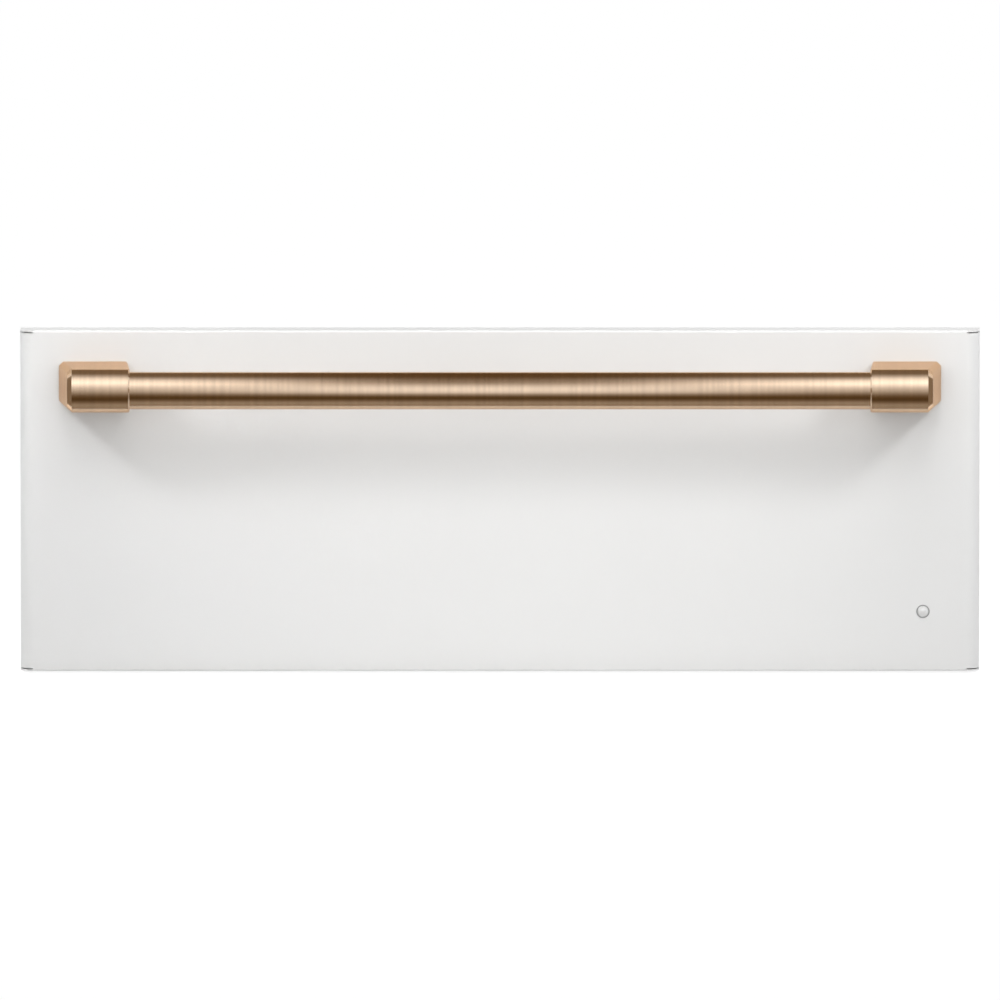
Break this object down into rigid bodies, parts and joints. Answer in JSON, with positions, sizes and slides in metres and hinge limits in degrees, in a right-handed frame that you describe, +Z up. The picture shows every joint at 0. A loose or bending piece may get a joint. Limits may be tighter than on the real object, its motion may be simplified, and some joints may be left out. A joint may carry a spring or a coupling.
{
  "type": "warming drawer",
  "caption": "Insulated warming drawer with a folded sheet front, bar handle, indicator light, full-extension slides, drawn pan, wire rack, heater loop and rear service cover.",
  "frame": {"origin": "on the surface that the feet stand on, under the middle of the overall box", "axes": "+X to the user's right along the front, -Y out of the front, +Z up"},
  "size_m": [0.7556, 0.5822, 0.272],
  "materials": {
    "zinc_steel": "zinc-coated sheet, satin",
    "frame_steel": "satin paint",
    "foot_rubber": "matt",
    "fasteners": "zinc plated",
    "liner_steel": "brushed",
    "insulation": "mineral wool",
    "heater_sheath": "dark oxide",
    "ceramic_parts": "unglazed",
    "circuit_board": "satin",
    "lead_sleeve": "satin",
    "black_plastic": "gloss",
    "slide_steel": "zinc plated",
    "cage_brass": "satin",
    "white_paint": "satin white powder coat",
    "seal_rubber": "matt",
    "handle_bronze": "brushed bronze",
    "lens_white": "gloss, translucent",
    "display_glass": "smoked",
    "pan_steel": "fine brushed",
    "rack_chrome": "bright",
    "button_white": "satin"
  },
  "bodies": {
    "chassis": {"case_base": "zinc_steel", "case_side_left": "zinc_steel", "case_side_right": "zinc_steel", "case_top": "zinc_steel", "case_back": "zinc_steel", "front_frame": "frame_steel", "feet": "foot_rubber", "foot_screws": "fasteners", "cavity_liner": "liner_steel", "insulation_base": "insulation", "insulation_top": "insulation", "insulation_sides": "insulation", "insulation_back": "insulation", "heater_element": "heater_sheath", "heater_terminals": "ceramic_parts", "heater_clips": "fasteners", "heater_flange": "fasteners", "temperature_probe": "pan_steel", "thermal_cutout": "ceramic_parts", "power_board": "circuit_board", "terminal_block": "ceramic_parts", "internal_leads": "lead_sleeve", "rear_cover": "zinc_steel", "cord_gland": "black_plastic", "case_fasteners": "fasteners", "slide_outer_left": "slide_steel", "slide_outer_right": "slide_steel"},
    "drawer": {"front_panel": "white_paint", "inner_panel": "liner_steel", "front_insulation": "insulation", "front_gasket": "seal_rubber", "handle_bar": "handle_bronze", "handle_bracket_left": "handle_bronze", "handle_bracket_right": "handle_bronze", "handle_screws": "fasteners", "handle_backing_plates": "fasteners", "indicator_lens": "lens_white", "indicator_holder": "black_plastic", "control_fascia": "black_plastic", "display_lens": "display_glass", "control_board": "circuit_board", "drawer_side_left": "liner_steel", "drawer_side_right": "liner_steel", "drawer_back": "liner_steel", "slide_inner_left": "slide_steel", "slide_inner_right": "slide_steel", "warming_pan": "pan_steel", "pan_rack": "rack_chrome", "drawer_screws": "fasteners"},
    "slide_middle_left": {"slide_middle_left": "slide_steel"},
    "slide_middle_right": {"slide_middle_right": "slide_steel"},
    "outer_ball_cage_left": {"outer_ball_cage_left": "cage_brass"},
    "outer_ball_cage_right": {"outer_ball_cage_right": "cage_brass"},
    "inner_ball_cage_left": {"inner_ball_cage_left": "cage_brass"},
    "inner_ball_cage_right": {"inner_ball_cage_right": "cage_brass"},
    "power_button": {"power_button": "button_white"},
    "heat_button": {"heat_button": "button_white"},
    "timer_button": {"timer_button": "button_white"},
    "vent_slider": {"vent_slider": "liner_steel"}
  },
  "joints": [
    {"name": "drawer_slide", "type": "slide", "parent": "chassis", "child": "drawer", "axis": [0, -1, 0], "range_m": [0, 0.35]},
    {"name": "middle_slide_left_run", "type": "slide", "parent": "chassis", "child": "slide_middle_left", "axis": [0, -1, 0], "range_m": [0, 0.175]},
    {"name": "outer_cage_left_run", "type": "slide", "parent": "chassis", "child": "outer_ball_cage_left", "axis": [0, -1, 0], "range_m": [0, 0.0875]},
    {"name": "inner_cage_left_run", "type": "slide", "parent": "chassis", "child": "inner_ball_cage_left", "axis": [0, -1, 0], "range_m": [0, 0.2625]},
    {"name": "middle_slide_right_run", "type": "slide", "parent": "chassis", "child": "slide_middle_right", "axis": [0, -1, 0], "range_m": [0, 0.175]},
    {"name": "outer_cage_right_run", "type": "slide", "parent": "chassis", "child": "outer_ball_cage_right", "axis": [0, -1, 0], "range_m": [0, 0.0875]},
    {"name": "inner_cage_right_run", "type": "slide", "parent": "chassis", "child": "inner_ball_cage_right", "axis": [0, -1, 0], "range_m": [0, 0.2625]},
    {"name": "power_press", "type": "slide", "parent": "drawer", "child": "power_button", "axis": [0, 0, -1], "range_m": [0, 0.001], "stiffness_N_per_m": 300, "springref_m": -0.002},
    {"name": "heat_press", "type": "slide", "parent": "drawer", "child": "heat_button", "axis": [0, 0, -1], "range_m": [0, 0.001], "stiffness_N_per_m": 300, "springref_m": -0.002},
    {"name": "timer_press", "type": "slide", "parent": "drawer", "child": "timer_button", "axis": [0, 0, -1], "range_m": [0, 0.001], "stiffness_N_per_m": 300, "springref_m": -0.002},
    {"name": "vent_shift", "type": "slide", "parent": "drawer", "child": "vent_slider", "axis": [1, 0, 0], "range_m": [0, 0.007]}
  ],
  "couplings": [
    {"joint": "middle_slide_left_run", "follows": "drawer_slide", "ratio": 0.5},
    {"joint": "outer_cage_left_run", "follows": "drawer_slide", "ratio": 0.25},
    {"joint": "inner_cage_left_run", "follows": "drawer_slide", "ratio": 0.75},
    {"joint": "middle_slide_right_run", "follows": "drawer_slide", "ratio": 0.5},
    {"joint": "outer_cage_right_run", "follows": "drawer_slide", "ratio": 0.25},
    {"joint": "inner_cage_right_run", "follows": "drawer_slide", "ratio": 0.75}
  ]
}
